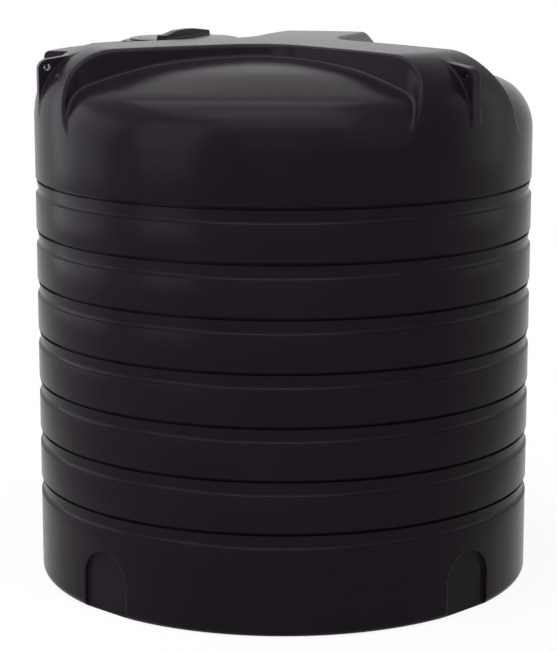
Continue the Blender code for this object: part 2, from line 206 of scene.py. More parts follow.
# Outlet through the rear flat. OUTLET_FACE is a distance from the tank's axis, and the bore, sleeve,
# hole, flange and nut are given by their radii.
OUTLET_HEIGHT = 0.092
OUTLET_FACE = RADIUS - FLAT_DEPTH
OUTLET_BORE = 0.021
OUTLET_SLEEVE = 0.0297
OUTLET_HOLE = 0.0303
OUTLET_FLANGE = 0.041
OUTLET_NUT = 0.046
OUTLET_GAP = 0.0003
SEAL_THICKNESS = 0.003
SEAL_EDGE = 0.0007
FLANGE_THICKNESS = 0.008
FLANGE_CHAMFER = 0.002
FACE_STEP = 0.0008
FACE_RING = 0.010
FACE_ROUND = 0.001
PIPE_PITCH = 0.0023
PIPE_THREAD = 0.001
PIPE_ROOT = 0.0011
PIPE_START = 0.002
BORE_MOUTH = 0.0015
BUSH_TAIL = 0.010
NUT_HALF = 0.007
NUT_EDGE = 0.0015
NUT_NOTCHES = 8
NUT_NOTCH = 0.0032
NOTCH_FLANK = 2.5
NOTCH_SHARE = 1.2
NUT_STEP = 0.0016
NUT_MARGIN = 0.004
NUT_LAP = 0.003
OUTLET_FACETS = 72

# Heights where the skins meet and where their grid ends, and the size of their facets
FOOT_TOP = 0.240
TOP_FOOT = 1.385
TOP_CEILING = 1.72
SKIN_STEP = 0.0065
INNER_STEP = 0.0105
WALL_FACETS = 384
INNER_FACETS = 192
NECK_FACETS = 160
GASKET_FACETS = 128
THREAD_FACETS = 128
TUCK = 0.0006
TUCK_DEPTH = 0.010
GRADIENT_STEP = 0.0008
WALL_MARGIN = 0.001
TINY = 1e-9
EVENING = 0.6
FULL_COUNT = 8
SHARP_ANGLE = math.radians(50)

# Photograph's camera: angles in degrees, focal length in pixels, sensor in millimetres
PHOTO_HEIGHT = 651
CAMERA_AZIMUTH = -46.0
CAMERA_DISTANCE = 6.931
CAMERA_HEIGHT = 2.1456
CAMERA_PITCH = 11.178
CAMERA_YAW = 0.129
FOCAL_PIXELS = 2218.6
SENSOR = 36.0
CLIP_END = 100.0

# Plastics: dark and light colour, least and most roughness, orange peel
TANK_PLASTIC = ((0.0084, 0.0050, 0.0084), (0.0100, 0.0064, 0.0101), 0.19, 0.27, 0.22)
LID_PLASTIC = ((0.0074, 0.0050, 0.0080), (0.0090, 0.0062, 0.0098), 0.16, 0.24, 0.25)
PLASTIC_SHEEN = 0.045
PEEL_DEPTH = 0.0006
WAVE_BUMP = (0.004, 0.25)

# Rubber, brass and floor: dark and light colour, least and most roughness. A bump has its depth
# and its strength.
RUBBER_COLOURS = ((0.016, 0.016, 0.016), (0.026, 0.026, 0.026))
RUBBER_ROUGHNESS = (0.62, 0.82)
RUBBER_SHEEN = 0.3
RUBBER_BUMP = (0.0003, 0.4)
BRASS_COLOURS = ((0.46, 0.30, 0.11), (0.66, 0.48, 0.20))
BRASS_ROUGHNESS = (0.24, 0.46)
BRASS_BUMP = (0.0002, 0.3)
FLOOR_COLOURS = ((0.80, 0.80, 0.80), (0.82, 0.82, 0.82))

# Floor. Its share of white rises from FLOOR_WHITE to 1 between the two distances of FLOOR_FADE.
FLOOR_LEVEL = -0.001
FLOOR_REACH = 14.0
FLOOR_FACETS = 64
FLOOR_WHITE = 0.92
FLOOR_FADE = (0.9, 2.0)

# Light. A lamp has its azimuth from the camera, distance from the tank's axis, height, the height
# that it looks at, its size and its power.
WORLD_LIGHT = 0.20
WORLD_COLOUR = (0.92, 0.96, 1.0, 1.0)
WHITE = (1.0, 1.0, 1.0, 1.0)
LAMPS = {
    "ceiling_light": (-90.0, 0.8, 5.5, 1.2, (4.0, 4.0), 170.0),
    "top_front_light": (0.0, 2.4, 5.3, 1.2, (4.0, 3.0), 130.0),
    "front_light": (0.0, 5.0, 2.8, 0.9, (3.2, 3.2), 16.0),
    "left_front_light": (-50.0, 4.5, 2.5, 0.7, (2.4, 4.2), 96.0),
    "left_back_light": (-102.0, 5.0, 2.2, 0.9, (4.0, 4.0), 112.0),
    "right_front_light": (45.0, 4.5, 3.4, 0.9, (2.6, 4.2), 28.0),
    "right_light": (97.0, 5.0, 2.3, 0.9, (2.6, 3.5), 40.0),
}
LAMP_COLOUR = (0.94, 0.97, 1.0)


def heading(azimuth):
    """Level unit vector at an azimuth in degrees."""
    turn = math.radians(azimuth)
    return np.array((math.sin(turn), -math.cos(turn)))


def across_along(x, y, azimuth):
    """Coordinates beside and ahead of an azimuth."""
    ahead = heading(azimuth)
    beside = heading(azimuth + 90.0)
    return x * beside[0] + y * beside[1], x * ahead[0] + y * ahead[1]


def manhole_axis():
    """Place of the manhole's axis, seen from above."""
    return heading(MANHOLE_AZIMUTH) * MANHOLE_OFFSET


def join(first, second, fillet):
    """Union of two solids with a round fillet."""
    low = np.minimum(first, second)
    bend = np.hypot(np.maximum(fillet - first, 0.0), np.maximum(fillet - second, 0.0))
    return np.maximum(fillet, low) - bend


def overlap(first, second, edge):
    """Common part of two solids with a round edge."""
    return -join(-first, -second, edge)


def cut(solid, cutter, edge):
    """Solid without the cutter, with a round edge."""
    return overlap(solid, -cutter, edge)


def lobe_body(r, z):
    """Round body whose shoulder breaks into a shallow dome."""
    centre = RADIUS - LOBE_RADIUS
    lift = math.radians(LOBE_BREAK)
    out, up = r - centre, z - LOBE_FOOT
    turn = np.arctan2(out, up)
    flank = r - RADIUS
    shoulder = np.hypot(out, up) - LOBE_RADIUS
    tangent = out * math.sin(lift) + up * math.cos(lift) - LOBE_RADIUS
    skin = np.where(up < 0.0, flank, np.where(turn > lift, shoulder, tangent))
    crest_r = centre + LOBE_RADIUS * math.sin(lift)
    crest_z = LOBE_FOOT + LOBE_RADIUS * math.cos(lift)
    span = crest_r ** 2 - LOBE_START ** 2
    share = np.clip((r ** 2 - LOBE_START ** 2) / span, *LOBE_SHARE)
    drop = (LOBE_FLOOR - crest_z) * share ** LOBE_CURVE
    slope = LOBE_CURVE * drop / share * 2 * r / span
    dome = (z - LOBE_FLOOR + drop) / np.hypot(1.0, slope)
    return overlap(skin, dome, LOBE_BLEND)


def crown_body(r, z):
    """Domed crown with a large round shoulder, before the pockets divide it."""
    rim = RADIUS - ARM_INSET
    ball = CROWN_HEIGHT - CROWN_BALL
    lift = math.asin((rim - ARM_SHOULDER) / (CROWN_BALL - ARM_SHOULDER))
    centre_z = ball + (CROWN_BALL - ARM_SHOULDER) * math.cos(lift)
    out, up = r - (rim - ARM_SHOULDER), z - centre_z
    dome = np.hypot(r, z - ball) - CROWN_BALL
    shoulder = np.hypot(out, up) - ARM_SHOULDER
    turn = np.arctan2(out, up)
    return np.where(up < 0.0, r - rim, np.where(turn > lift, shoulder, dome))


def pocket(x, y, z, azimuth):
    """Drafted pocket between two arms: a round hub, two sides along the arms and round corners."""
    across, out = across_along(x, y, azimuth)
    across = np.abs(across)
    spread_angle = math.pi / 2 - math.pi / ARM_COUNT
    sine, cosine = math.sin(spread_angle), math.cos(spread_angle)
    tip = ARM_HALF / cosine
    arm_side = across * sine - (out - tip) * cosine
    hub_out = out - tip - HUB_ROUND / cosine
    hub = np.hypot(across, hub_out) - HUB_ROUND
    arm_side = np.where(across * cosine < -hub_out * sine, hub, arm_side)
    corner_across = POCKET_HALF - POCKET_CORNER
    corner_out = tip + (corner_across * sine + POCKET_CORNER) / cosine
    beside, beyond = across - corner_across, out - corner_out
    in_corner = (beside > 0.0) & (beyond < 0.0) & (-beyond * sine < beside * cosine)
    plan = np.where(in_corner, np.hypot(beside, beyond) - POCKET_CORNER,
                    np.maximum(arm_side, across - POCKET_HALF))
    return plan - (z - CROWN_HEIGHT) * POCKET_LEAN


def deck_body(x, y, z, r):
    """Raised deck and pad that carry the manhole, with a low curb round the lid."""
    across, out = across_along(x, y, MANHOLE_AZIMUTH)
    across = np.abs(across)
    side = (across - DECK_HALF) * math.sin(DECK_FLARE) - (out - MANHOLE_OFFSET) * math.cos(DECK_FLARE)
    plan = np.maximum(side, -out)
    block = overlap(r - (RADIUS - DECK_INSET), z - DECK_HEIGHT, DECK_EDGE)
    deck = overlap(block, plan, DECK_CORNER)
    pad_plan = overlap(across - PAD_HALF, out - MANHOLE_OFFSET - PAD_HALF, PAD_CORNER)
    pad = overlap(np.maximum(pad_plan, -out), z - PAD_HEIGHT, PAD_EDGE)
    ring = np.abs(np.hypot(across, out - MANHOLE_OFFSET) - CURB_RADIUS) - CURB_HALF
    curb = overlap(np.maximum(ring, PAD_HEIGHT - CURB_ROOT - z), z - PAD_HEIGHT - CURB_HEIGHT,
                   CURB_EDGE)
    return join(join(deck, pad, PAD_FILLET), curb, CURB_FILLET)


def lug_body(x, y, z, azimuth):
    """Lifting lug: an upright fin with a round tip, and the bore of its eye."""
    across, out = across_along(x, y, azimuth)
    root_height = CROWN_HEIGHT - LUG_ROOT ** 2 / (2 * CROWN_BALL) - LUG_ROOT_SINK
    fall = math.atan((root_height - LUG_TIP) / (LUG_REACH - LUG_CORNER - LUG_ROOT))
    top = (z - LUG_TIP) * math.cos(fall) + (out - LUG_REACH + LUG_CORNER) * math.sin(fall)
    outline = overlap(out - LUG_REACH, top, LUG_CORNER)
    outline = np.maximum(outline, LUG_ROOT - out)
    fin = overlap(outline, np.abs(across) - LUG_THICKNESS / 2, LUG_EDGE)
    eye = np.hypot(out - RADIUS + EYE_EDGE, z - LUG_TIP + EYE_DROP) - EYE_RADIUS
    return fin, eye


def lug_fin(x, y, z):
    """First lug by itself, with a round edge on its eye."""
    fin, eye = lug_body(x, y, z, 0.0)
    return cut(fin, eye, EYE_ROUND)


def arched_flat(x, y, z, azimuth):
    """Arched block that presses a flat into the foot of the wall."""
    across, out = across_along(x, y, azimuth)
    spring = FLAT_HEIGHT - FLAT_HALF
    arch = np.where(z > spring, np.hypot(across, z - spring), np.abs(across)) - FLAT_HALF
    return overlap(arch, RADIUS - FLAT_DEPTH - out, FLAT_FILLET)


def moulded_top(x, y, z, r):
    """Distance to the moulded top without its lugs: lobes, crown and deck."""
    crown = crown_body(r, z)
    for arm in range(ARM_COUNT):
        azimuth = 360.0 / ARM_COUNT * (arm + 0.5)
        crown = cut(crown, pocket(x, y, z, azimuth), POCKET_EDGE)
    skin = join(lobe_body(r, z), crown, POCKET_FILLET)
    return join(skin, deck_body(x, y, z, r), DECK_FILLET)


def top_skin(x, y, z):
    """Distance to the outside of the top, with the feet of the lugs."""
    r = np.hypot(x, y)
    skin = moulded_top(x, y, z, r)
    for arm in range(ARM_COUNT):
        fin, eye = lug_body(x, y, z, 360.0 / ARM_COUNT * arm)
        skin = join(skin, np.maximum(fin + LUG_SINK, EYE_ROOM - eye), LUG_FILLET)
    tuck = np.clip((TOP_FOOT + TUCK_DEPTH - z) / TUCK_DEPTH, 0.0, 1.0) * TUCK
    return np.maximum(skin, r - RADIUS) + tuck


def inner_top(x, y, z):
    """Distance to the inside of the top, into which the neck's collar hangs."""
    r = np.hypot(x, y)
    across, out = across_along(x, y, MANHOLE_AZIMUTH)
    neck = np.hypot(across, out - MANHOLE_OFFSET) - NECK_RADIUS - NECK_WALL
    cavity = np.maximum(moulded_top(x, y, z, r), r - RADIUS) + WALL
    return -np.maximum(cavity, -np.maximum(neck, PAD_HEIGHT - NECK_DEPTH - z))


def moulded_foot(x, y, z):
    """Distance to the foot of the wall with its arched flats."""
    r = np.hypot(x, y)
    skin = overlap(r - RADIUS, -z, BASE_CORNER)
    for index in range(FLAT_COUNT):
        skin = cut(skin, arched_flat(x, y, z, 360.0 / FLAT_COUNT * index), FLAT_EDGE)
    return skin


def foot_skin(x, y, z):
    """Distance to the outside of the foot, tucked under the wall above it."""
    tuck = np.clip((z - FOOT_TOP + TUCK_DEPTH) / TUCK_DEPTH, 0.0, 1.0) * TUCK
    return moulded_foot(x, y, z) + tuck


def inner_foot(x, y, z):
    """Distance to the inside of the foot."""
    return -(moulded_foot(x, y, z) + WALL)


def thread_ridge(turn, z, low, high):
    """Height of a rounded screw thread at an angle and a level, faded at both ends."""
    phase = (z / THREAD_PITCH - turn / (2 * math.pi)) % 1.0
    crest = np.clip(THREAD_SHARE - THREAD_FLANK * np.abs(phase - 0.5), 0.0, 1.0)
    fade = np.clip((z - low) / THREAD_PITCH, 0.0, 1.0) * np.clip((high - z) / THREAD_PITCH, 0.0, 1.0)
    return THREAD_HEIGHT * crest * fade


def lid_skirt(r, turn, z):
    """Threaded skirt that hangs from the lid's flange."""
    ridge = thread_ridge(turn, z, SKIRT_LOW, LID_SEAT)
    wall = np.maximum(r - SKIRT_OUTER - ridge, SKIRT_INNER - r)
    middle = LID_SEAT + LID_FLANGE / 2
    return overlap(np.maximum(wall, z - middle), SKIRT_LOW - z, SKIRT_EDGE)


def grip_bar(x, y, z):
    """Grip bar across the lid: its sides lean in, and its top rises to the middle."""
    across, along = across_along(x, y, GRIP_AZIMUTH)
    top = np.interp(along, *zip(*GRIP_TOP)) + LID_SEAT + LID_TOP
    lean = (z - LID_SEAT - LID_TOP) * GRIP_LEAN
    sides = overlap(np.abs(across) - GRIP_HALF_WIDTH + lean, np.abs(along) - GRIP_HALF + lean,
                    GRIP_CORNER)
    bar = overlap(sides, (z - top) * GRIP_SLOPE, GRIP_EDGE)
    return np.maximum(bar, LID_SEAT + LID_TOP - LID_PLATE - z)


def lid_body(x, y, z):
    """Screw lid about its own axis: scalloped flange, domed panel, skirt and grip bar."""
    r = np.hypot(x, y)
    turn = np.arctan2(y, x)
    scallop = SCALLOP_DEPTH * (1.0 + np.cos(SCALLOPS * turn))
    middle = LID_SEAT + LID_FLANGE / 2
    flange = overlap(r - LID_RADIUS + scallop, np.abs(z - middle) - LID_FLANGE / 2, FLANGE_EDGE)
    groove = GROOVE_DEPTH * np.clip(1.0 - np.abs(r - LID_GROOVE) / GROOVE_HALF, 0.0, 1.0)
    dome = LID_SEAT + LID_TOP - LID_DOME * (r / LID_PANEL) ** 2
    panel = overlap(r - LID_PANEL, z - dome + groove, PANEL_EDGE)
    panel = np.maximum(panel, LID_SEAT + PANEL_FOOT - z)
    hollow = overlap(r - SKIRT_INNER, z - dome + LID_PLATE, HOLLOW_EDGE)
    lid = np.maximum(join(flange, panel, PANEL_FILLET), -hollow)
    lid = np.minimum(lid, lid_skirt(r, turn, z))
    return join(lid, grip_bar(x, y, z), GRIP_FILLET)


def gradient(field, points):
    """Unit gradient of a distance field at points."""
    parts = []
    for axis in range(3):
        shift = np.zeros(3)
        shift[axis] = GRADIENT_STEP
        parts.append(field(*(points + shift).T) - field(*(points - shift).T))
    slope = np.stack(parts, axis=1)
    length = np.linalg.norm(slope, axis=1, keepdims=True)
    return slope / np.maximum(length, TINY)


def pull_to_surface(field, points, turns=5):
    """Move points along the gradient onto the surface of a distance field."""
    for _ in range(turns):
        distance = field(*points.T)[:, None]
        points = points - np.clip(distance, -SKIN_STEP, SKIN_STEP) * gradient(field, points)
    return points


def quads_across(inside, number, axis):
    """Quads round the grid's edges along one axis that cross the surface."""
    after = [slice(None)] * 3
    after[axis] = slice(1, None)
    before = [slice(None)] * 3
    before[axis] = slice(None, -1)
    start, end = inside[tuple(before)], inside[tuple(after)]
    first, second = (axis + 1) % 3, (axis + 2) % 3
    faces = []
    for leaving in (True, False):
        edges = np.argwhere((start & ~end) if leaving else (~start & end))
        keep = np.ones(len(edges), bool)
        for side in (first, second):
            keep &= (edges[:, side] > 0) & (edges[:, side] < number.shape[side])
        edges = edges[keep]
        corners = []
        for first_shift, second_shift in ((0, 0), (-1, 0), (-1, -1), (0, -1)):
            spot = edges.copy()
            spot[:, first] += first_shift
            spot[:, second] += second_shift
            corners.append(number[spot[:, 0], spot[:, 1], spot[:, 2]])
        quads = np.stack(corners, axis=1)
        faces.append(quads if leaving else quads[:, ::-1])
    return faces


def grid_surface(field, low, high, step):
    """Mesh the surface of a distance field: one point in each cell that it crosses."""
    counts = [int(math.ceil((high[axis] - low[axis]) / step)) + 1 for axis in range(3)]
    axes = [low[axis] + step * np.arange(counts[axis]) for axis in range(3)]
    values = np.empty(counts, np.float32)
    for index, level in enumerate(axes[2]):
        x, y = np.meshgrid(axes[0], axes[1], indexing="ij")
        values[:, :, index] = field(x, y, np.full_like(x, level))
    inside = values < 0.0
    cells = np.zeros([count - 1 for count in counts], np.uint8)
    for dx in (0, 1):
        for dy in (0, 1):
            for dz in (0, 1):
                cells += inside[dx:dx + cells.shape[0], dy:dy + cells.shape[1],
                                dz:dz + cells.shape[2]]
    crossed = (cells > 0) & (cells < 8)
    number = np.full(cells.shape, -1, np.int64)
    number[crossed] = np.arange(int(crossed.sum()))
    place = np.argwhere(crossed)
    points = np.array(low) + (place + 0.5) * step
    faces = []
    for axis in range(3):
        faces += quads_across(inside, number, axis)
    return points, np.concatenate(faces)


def relax(points, faces, field, turns=3):
    """Even out the points along the surface, but not those on its rim."""
    for _ in range(turns):
        total = np.zeros_like(points)
        count = np.zeros(len(points))
        for corner in range(4):
            for other in (1, 3):
                np.add.at(total, faces[:, corner], points[faces[:, (corner + other) % 4]])
                np.add.at(count, faces[:, corner], 1)
        mean = total / np.maximum(count, 1)[:, None]
        moved = np.where((count >= FULL_COUNT)[:, None], mean, points)
        points = pull_to_surface(field, points * (1.0 - EVENING) + moved * EVENING, 2)
    return points


def new_mesh(name, points, faces, normals=None):
    """Make a smooth mesh object from arrays."""
    mesh = bpy.data.meshes.new(name)
    mesh.from_pydata([tuple(point) for point in points], [], [tuple(face) for face in faces])
    mesh.shade_smooth()
    if normals is not None:
        mesh.normals_split_custom_set_from_vertices([tuple(normal) for normal in normals])
    item = bpy.data.objects.new(name, mesh)
    bpy.context.scene.collection.objects.link(item)
    return item


def open_hole(points, faces, radius, low):
    """Clear a round hole about the manhole's axis, with a clean rim, above a level."""
    axis = manhole_axis()
    offset = points[:, :2] - axis
    reach = np.hypot(*offset.T)
    within = (reach < radius) & (points[:, 2] > low)
    points[within, :2] = axis + offset[within] * (radius / np.maximum(reach[within], TINY))[:, None]
    return faces[~within[faces].all(axis=1)]


def moulded_piece(name, field, low, high, step, keep=None, hole=None):
    """Mesh a distance field between two corners: keep some of its faces and open a hole, if asked.

    The hole is given as its radius and the height that it starts from.
    """
    points, faces = grid_surface(field, low, high, step)
    points = pull_to_surface(field, points)
    points = relax(points, faces, field)
    if keep is not None:
        faces = faces[keep(points[faces].mean(axis=1))]
    if hole is not None:
        faces = open_hole(points, faces, *hole)
    used = np.unique(faces)
    number = np.full(len(points), -1, np.int64)
    number[used] = np.arange(len(used))
    points = points[used]
    return new_mesh(name, points, number[faces], gradient(field, points))


def turned_piece(name, profile, segments, centre=(0.0, 0.0, 0.0)):
    """Turn a profile of (radius, height) points, listed from the top down, about Z."""
    ring = []
    points = []
    for radius, height in profile:
        if radius < TINY:
            ring.append([len(points)] * segments)
            points.append((centre[0], centre[1], centre[2] + height))
            continue
        row = []
        for index in range(segments):
            turn = 2 * math.pi * index / segments
            row.append(len(points))
            points.append((centre[0] + radius * math.cos(turn), centre[1] + radius * math.sin(turn),
                           centre[2] + height))
        ring.append(row)
    faces = []
    for upper, lower in zip(ring, ring[1:]):
        for index in range(segments):
            after = (index + 1) % segments
            face = [upper[index], lower[index], lower[after], upper[after]]
            face = list(dict.fromkeys(face))
            faces.append(face)
    item = new_mesh(name, points, faces)
    item.data.set_sharp_from_angle(angle=SHARP_ANGLE)
    return item


def arc(centre_r, centre_z, radius, start, end, steps):
    """Points of an arc in a turned profile, between two angles in degrees."""
    points = []
    for step in range(steps + 1):
        turn = math.radians(start + (end - start) * step / steps)
        points.append((centre_r + radius * math.cos(turn), centre_z + radius * math.sin(turn)))
    return points


def ring_profile():
    """Wall of the tank from the top skin to the foot skin, with its pressed rings.

    Each ring has a narrow slot under its lip, a band that leans inward, and a hollow curve out to
    a sharp ledge at its foot.
    """
    slot_floor = RADIUS - SLOT_DEPTH
    band_top = RADIUS - BAND_START - SLOT_EDGE
    lift = math.radians(RAMP_END)
    ramp_centre = RADIUS - LEDGE_EDGE / 2 + RAMP_RADIUS * math.cos(lift)
    profile = [(RADIUS, TOP_FOOT + TUCK_DEPTH)]
    for ring in reversed(range(RING_COUNT)):
        lip = FIRST_LIP + RING_PITCH * ring
        foot = lip - RING_HEIGHT
        profile += arc(RADIUS - SLOT_EDGE, lip + SLOT_EDGE, SLOT_EDGE, 0.0, -90.0, steps=4)
        profile += [(slot_floor, lip), (slot_floor, lip - SLOT_HEIGHT)]
        profile += arc(band_top, lip - SLOT_HEIGHT - SLOT_EDGE, SLOT_EDGE, 90.0, 0.0, steps=4)
        profile += arc(ramp_centre, foot + RAMP_RADIUS * math.sin(lift), RAMP_RADIUS,
                       180.0 + RAMP_START, 180.0 + RAMP_END, steps=8)
        profile += arc(RADIUS - LEDGE_EDGE, foot - LEDGE_EDGE, LEDGE_EDGE, RAMP_END, 0.0, steps=3)
    profile.append((RADIUS, FOOT_TOP - TUCK_DEPTH))
    return profile


def inner_wall_profile():
    """Inside of the wall, from the bottom up, so that it faces the water."""
    inner = RADIUS - WALL
    band = inner - INNER_RING_DEPTH
    profile = [(inner - TUCK, FOOT_TOP - TUCK_DEPTH)]
    for ring in range(RING_COUNT):
        lip = FIRST_LIP + RING_PITCH * ring
        foot = lip - RING_HEIGHT
        profile += [(inner, foot - WALL / 2), (band, foot + INNER_RING_DEPTH),
                    (band, lip + WALL / 2), (inner, lip + 1.5 * WALL)]
    profile.append((inner - TUCK, TOP_FOOT + TUCK_DEPTH))
    return profile


def neck_profile():
    """Neck of the manhole: land under the gasket, round mouth, bore and lower end."""
    low = PAD_HEIGHT - NECK_DEPTH
    profile = [(NECK_HOLE, PAD_HEIGHT - NECK_LIP), (NECK_HOLE - NECK_LIP, PAD_HEIGHT)]
    profile += arc(NECK_RADIUS + NECK_MOUTH, PAD_HEIGHT - NECK_MOUTH, NECK_MOUTH, 90.0, 180.0,
                   steps=5)
    profile += arc(NECK_RADIUS + NECK_END, low + NECK_END, NECK_END, 180.0, 270.0, steps=4)
    profile.append((NECK_RADIUS + NECK_WALL / 2, low))
    return profile


def round_ring_profile(inner, outer, low, high, edge):
    """Closed section of a ring with round edges."""
    corners = ((inner + edge, high - edge, 180.0), (outer - edge, high - edge, 90.0),
               (outer - edge, low + edge, 0.0), (inner + edge, low + edge, -90.0))
    profile = []
    for r, z, start in corners:
        profile += arc(r, z, edge, start, start - 90.0, steps=3)
    return profile + profile[:1]


def bush_profile():
    """Outlet bush from its flange inward: chamfered flange, sleeve and threaded bore."""
    out = OUTLET_FACE + SEAL_THICKNESS + 2 * OUTLET_GAP
    face = out + FLANGE_THICKNESS
    tail = OUTLET_FACE - WALL - OUTLET_GAP - 2 * NUT_HALF - BUSH_TAIL
    root = OUTLET_SLEEVE - PIPE_THREAD
    mouth = OUTLET_BORE + BORE_MOUTH
    shoulder = OUTLET_BORE + FACE_RING
    profile = [(mouth, face), (shoulder - FACE_ROUND, face), (shoulder, face - FACE_STEP),
               (OUTLET_FLANGE - FLANGE_CHAMFER, face - FACE_STEP),
               (OUTLET_FLANGE, face - FACE_STEP - FLANGE_CHAMFER), (OUTLET_FLANGE, out),
               (OUTLET_SLEEVE, out)]
    level = OUTLET_FACE - WALL - PIPE_START
    while level > tail + PIPE_PITCH:
        profile += [(OUTLET_SLEEVE, level), (root, level - PIPE_PITCH / 2)]
        level -= PIPE_PITCH
    profile += [(root, tail), (mouth, tail)]
    level = tail + PIPE_THREAD
    while level < face - PIPE_PITCH:
        profile += [(OUTLET_BORE, level), (OUTLET_BORE + PIPE_ROOT, level + PIPE_PITCH / 2)]
        level += PIPE_PITCH
    profile.append((mouth, face))
    return profile


def nut_body(x, y, z):
    """Notched ring nut about Z, with its middle at zero."""
    r = np.hypot(x, y)
    turn = np.arctan2(y, x)
    notch = NUT_NOTCH * np.clip(NOTCH_FLANK * np.cos(NUT_NOTCHES * turn) - NOTCH_SHARE, 0.0, 1.0)
    body = overlap(r - OUTLET_NUT + notch, np.abs(z) - NUT_HALF, NUT_EDGE)
    return np.maximum(body, OUTLET_HOLE - r)


def thread_strip(name, turns, low):
    """Screw thread inside the neck: a low rounded ridge that climbs about the manhole's axis."""
    section = ((THREAD_ROOT, -THREAD_FOOT), (-THREAD_HEIGHT, -THREAD_CREST),
               (-THREAD_HEIGHT, THREAD_CREST), (THREAD_ROOT, THREAD_FOOT))
    points = []
    count = int(turns * THREAD_FACETS)
    for index in range(count + 1):
        turn = 2 * math.pi * index / THREAD_FACETS
        fade = min(1.0, THREAD_FADE * index / count, THREAD_FADE * (count - index) / count)
        for depth, rise in section:
            radius = NECK_RADIUS + (depth if depth > 0.0 else depth * fade)
            points.append((radius * math.cos(turn), radius * math.sin(turn),
                           low + THREAD_PITCH * index / THREAD_FACETS + rise))
    wide = len(section)
    faces = []
    for index in range(count):
        for side in range(wide - 1):
            first = index * wide + side
            faces.append((first, first + 1, first + 1 + wide, first + wide))
    return new_mesh(name, points, faces)


def build_camera():
    """Camera of the photograph, and make it the scene's camera."""
    data = bpy.data.cameras.new("photo_camera")
    data.sensor_fit = "VERTICAL"
    data.sensor_height = SENSOR
    data.lens = FOCAL_PIXELS * SENSOR / PHOTO_HEIGHT
    data.clip_end = CLIP_END
    camera = bpy.data.objects.new("photo_camera", data)
    bpy.context.scene.collection.objects.link(camera)
    side = heading(CAMERA_AZIMUTH)
    camera.location = (side[0] * CAMERA_DISTANCE, side[1] * CAMERA_DISTANCE, CAMERA_HEIGHT)
    camera.rotation_euler = (math.radians(90.0 - CAMERA_PITCH), 0.0,
                             math.radians(CAMERA_AZIMUTH + CAMERA_YAW))
    bpy.context.scene.camera = camera


def node_tree(name):
    """New material, its node tree and its shader."""
    material = bpy.data.materials.new(name)
    material.use_nodes = True
    return material, material.node_tree, material.node_tree.nodes["Principled BSDF"]


def noise(tree, scale, detail, stretch=None):
    """Noise texture in the object's own space."""
    place = tree.nodes.new("ShaderNodeTexCoord")
    texture = tree.nodes.new("ShaderNodeTexNoise")
    texture.inputs["Scale"].default_value = scale
    texture.inputs["Detail"].default_value = detail
    source = place.outputs["Object"]
    if stretch is not None:
        mapping = tree.nodes.new("ShaderNodeMapping")
        mapping.inputs["Scale"].default_value = stretch
        tree.links.new(source, mapping.inputs["Vector"])
        source = mapping.outputs["Vector"]
    tree.links.new(source, texture.inputs["Vector"])
    return texture.outputs["Fac"]


def spread(tree, value, low, high, start=0.3, end=0.7):
    """Map a value that runs from start to end onto a range from low to high."""
    node = tree.nodes.new("ShaderNodeMapRange")
    node.inputs["From Min"].default_value = start
    node.inputs["From Max"].default_value = end
    node.inputs["To Min"].default_value = low
    node.inputs["To Max"].default_value = high
    tree.links.new(value, node.inputs["Value"])
    return node.outputs["Result"]


def blend_colour(tree, value, first, second):
    """Mix two colours by a value."""
    node = tree.nodes.new("ShaderNodeMix")
    node.data_type = "RGBA"
    node.inputs["A"].default_value = (*first, 1.0)
    node.inputs["B"].default_value = (*second, 1.0)
    tree.links.new(value, node.inputs["Factor"])
    return node.outputs["Result"]


def add_bump(tree, shader, layers):
    """Chain bump layers of (height, distance, strength) into the shader's normal."""
    normal = None
    for height, distance, strength in layers:
        bump = tree.nodes.new("ShaderNodeBump")
        bump.inputs["Distance"].default_value = distance
        bump.inputs["Strength"].default_value = strength
        tree.links.new(height, bump.inputs["Height"])
        if normal is not None:
            tree.links.new(normal, bump.inputs["Normal"])
        normal = bump.outputs["Normal"]
    tree.links.new(normal, shader.inputs["Normal"])


def black_plastic(name, dark, light, low_rough, high_rough, peel):
    """Moulded black polyethylene: orange peel, faint shrink waves and soft bloom."""
    material, tree, shader = node_tree(name)
    bloom = noise(tree, scale=3.5, detail=4.0)
    speck = noise(tree, scale=140.0, detail=2.0)
    colour = blend_colour(tree, spread(tree, bloom, 0.0, 1.0), dark, light)
    tree.links.new(colour, shader.inputs["Base Color"])
    tree.links.new(spread(tree, speck, low_rough, high_rough), shader.inputs["Roughness"])
    shader.inputs["Specular IOR Level"].default_value = PLASTIC_SHEEN
    wave = noise(tree, scale=5.0, detail=1.0)
    grain = noise(tree, scale=260.0, detail=2.0)
    add_bump(tree, shader, ((wave, *WAVE_BUMP), (grain, PEEL_DEPTH, peel)))
    return material


def rubber_material():
    """Dull black rubber with a fine grain."""
    material, tree, shader = node_tree("gasket_rubber")
    grain = noise(tree, scale=600.0, detail=3.0)
    colour = blend_colour(tree, spread(tree, grain, 0.0, 1.0), *RUBBER_COLOURS)
    tree.links.new(colour, shader.inputs["Base Color"])
    tree.links.new(spread(tree, grain, *RUBBER_ROUGHNESS), shader.inputs["Roughness"])
    shader.inputs["Specular IOR Level"].default_value = RUBBER_SHEEN
    add_bump(tree, shader, ((grain, *RUBBER_BUMP),))
    return material


def brass_material():
    """Turned brass, slightly dulled, with fine turning marks across its axis."""
    material, tree, shader = node_tree("outlet_brass")
    patina = noise(tree, scale=35.0, detail=5.0)
    marks = noise(tree, scale=90.0, detail=3.0, stretch=(1.0, 18.0, 1.0))
    colour = blend_colour(tree, spread(tree, patina, 0.0, 1.0), *BRASS_COLOURS)
    tree.links.new(colour, shader.inputs["Base Color"])
    tree.links.new(spread(tree, marks, *BRASS_ROUGHNESS), shader.inputs["Roughness"])
    shader.inputs["Metallic"].default_value = 1.0
    add_bump(tree, shader, ((marks, *BRASS_BUMP),))
    return material


